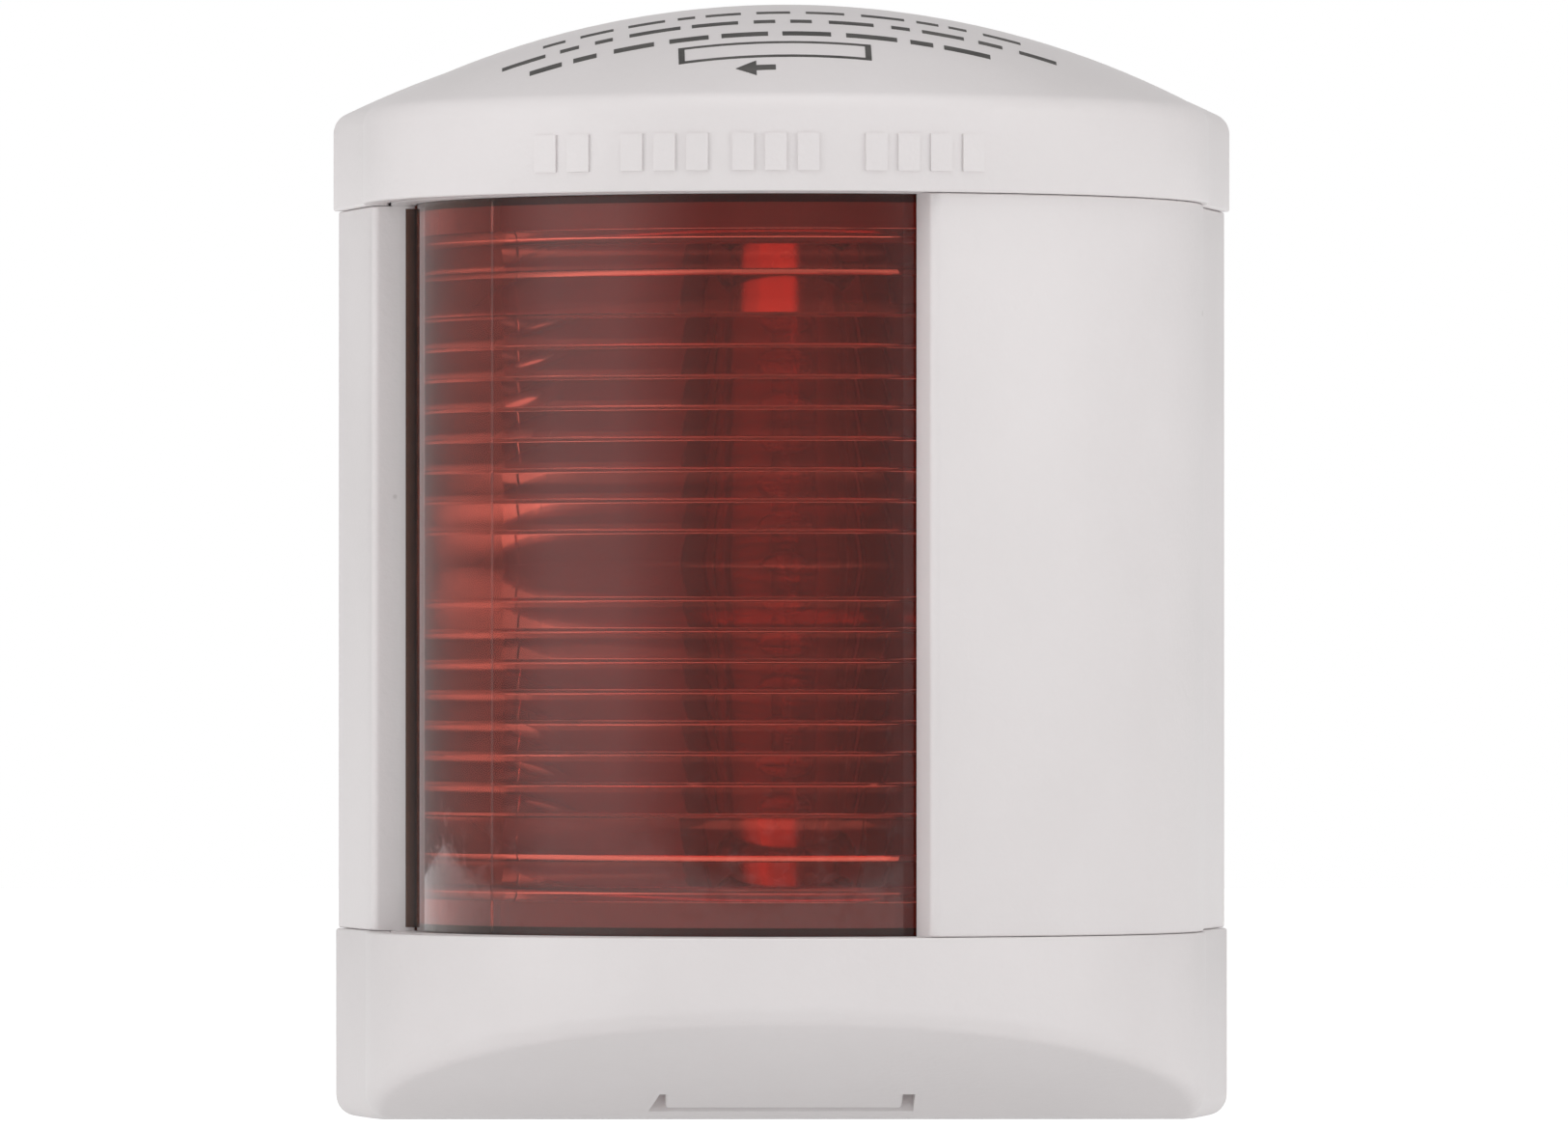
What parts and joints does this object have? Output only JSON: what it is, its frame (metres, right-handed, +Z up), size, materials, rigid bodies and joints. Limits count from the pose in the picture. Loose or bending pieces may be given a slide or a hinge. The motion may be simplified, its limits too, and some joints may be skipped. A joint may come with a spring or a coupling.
{
  "type": "navigation light",
  "caption": "Port side navigation light: white domed casing with a red ribbed lens sector, hinged cover over a festoon lamp on a wall plate.",
  "frame": {"origin": "middle of the base plate's flat wall face", "axes": "+Z up along the height; +Y into the wall, so the light faces -Y; +X aft, to the right of someone facing the light"},
  "size_m": [0.0674, 0.0483, 0.0827],
  "materials": {
    "casing": "fine-grained satin white ABS, faintly warm, with a few dark specks",
    "red_lens": "deep red transparent acrylic, glossy outside, fine horizontal ribs inside",
    "bulb_glass": "clear thin lamp glass",
    "carrier": "black moulded plastic",
    "rubber": "soft black sealing rubber",
    "contact_brass": "plain sheet brass, lightly tarnished",
    "stainless": "stainless screw, turned",
    "lamp_cap": "nickel-plated brass cap",
    "filament": "grey drawn tungsten wire"
  },
  "bodies": {
    "base": {"base_plate": "casing", "cover_seal": "rubber", "cable_grommet": "rubber", "lamp_carrier": "carrier", "terminal_block": "carrier", "bulb_glass": "bulb_glass", "filament": "filament", "upper_bus_strip": "contact_brass", "lower_bus_strip": "contact_brass", "contact_rivet_upper": "contact_brass", "contact_rivet_lower": "contact_brass", "wire_clamp_upper": "contact_brass", "wire_clamp_lower": "contact_brass", "terminal_screw_upper": "contact_brass", "terminal_screw_lower": "contact_brass", "carrier_screw_upper": "stainless", "carrier_screw_lower": "stainless", "bulb_cap_upper": "lamp_cap", "bulb_cap_lower": "lamp_cap"},
    "cover": {"top_cap": "casing", "screen_shell": "casing", "bottom_cap": "casing", "lens": "red_lens", "lens_seal_upper": "rubber", "lens_seal_lower": "rubber"},
    "latch": {"release_latch": "casing"},
    "contact_top": {"upper_contact": "contact_brass"},
    "contact_bottom": {"lower_contact": "contact_brass"}
  },
  "joints": [
    {"name": "cover_swing", "type": "hinge", "parent": "base", "child": "cover", "pos_m": [0, -0.0007, 0.0406], "axis": [-1, 0, 0], "range_deg": [0, 20]},
    {"name": "latch_flex", "type": "hinge", "parent": "cover", "child": "latch", "pos_m": [0, -0.031, -0.0345], "axis": [1, 0, 0], "range_deg": [0, 4], "stiffness_Nm_per_rad": 0.3},
    {"name": "upper_contact_flex", "type": "hinge", "parent": "base", "child": "contact_top", "pos_m": [0, -0.0095, 0.02105], "axis": [-1, 0, 0], "range_deg": [0, 6], "stiffness_Nm_per_rad": 0.1},
    {"name": "lower_contact_flex", "type": "hinge", "parent": "base", "child": "contact_bottom", "pos_m": [0, -0.0095, -0.02105], "axis": [1, 0, 0], "range_deg": [0, 6], "stiffness_Nm_per_rad": 0.1}
  ]
}
